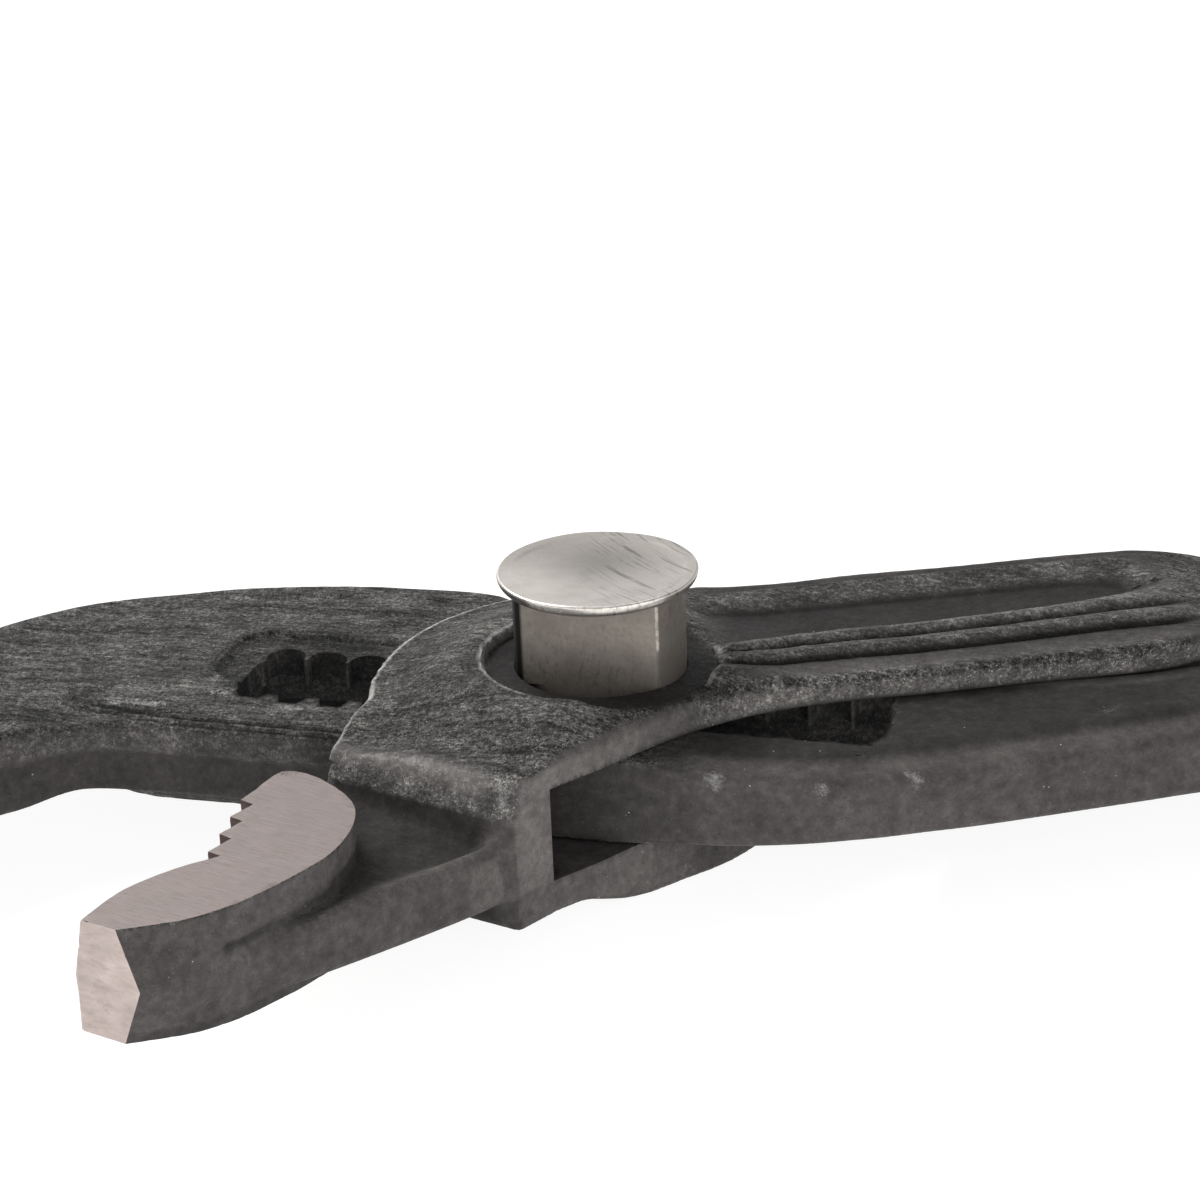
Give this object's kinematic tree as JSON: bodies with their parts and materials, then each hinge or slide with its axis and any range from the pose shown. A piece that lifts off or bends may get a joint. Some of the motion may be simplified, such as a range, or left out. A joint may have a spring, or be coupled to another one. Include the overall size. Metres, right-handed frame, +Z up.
{
  "type": "water pump pliers",
  "caption": "Push-button adjustable water pump pliers: forged box-joint lever, toothed-slot lever sliding through it, sprung locking bolt with a dished button head, and two-part handle grips.",
  "frame": {"origin": "on the pivot axis, in the plane the tool lies on", "axes": "+X from the jaws to the handles, +Z up along the pivot axis out of the button head"},
  "size_m": [0.2538, 0.0789, 0.0242],
  "materials": {
    "forged_steel": "black-finished forged steel, fine grain",
    "forged_steel_slide": "black-finished forged steel, fine grain",
    "button_steel": "satin, fine scratches",
    "bolt_steel": "satin",
    "inner_steel": "plain turned",
    "grip_hard": "fine matte texture",
    "grip_soft": "matte, soft"
  },
  "bodies": {
    "frame": {"box_lever": "forged_steel", "retaining_ring": "inner_steel", "rear_grip_core": "grip_hard", "rear_grip_soft": "grip_soft"},
    "pivot": {"pivot_plug": "inner_steel", "stop_pin": "inner_steel", "return_spring": "inner_steel"},
    "button": {"locking_bolt": "bolt_steel", "button_head": "button_steel"},
    "slide_lever": {"slotted_lever": "forged_steel_slide", "front_grip_core": "grip_hard", "front_grip_soft": "grip_soft"}
  },
  "joints": [
    {"name": "lever_pivot", "type": "hinge", "parent": "frame", "child": "pivot", "pos_m": [0, 0, 0.0088], "axis": [0, 0, 1], "range_deg": [-38, 2]},
    {"name": "button_press", "type": "slide", "parent": "pivot", "child": "button", "axis": [0, 0, -1], "range_m": [0, 0.0026], "stiffness_N_per_m": 1200, "springref_m": -0.003, "deforming": ["return_spring"]},
    {"name": "jaw_adjust", "type": "slide", "parent": "pivot", "child": "slide_lever", "axis": [0.9563, -0.2924, 0], "range_m": [-0.018, 0.0252]}
  ]
}
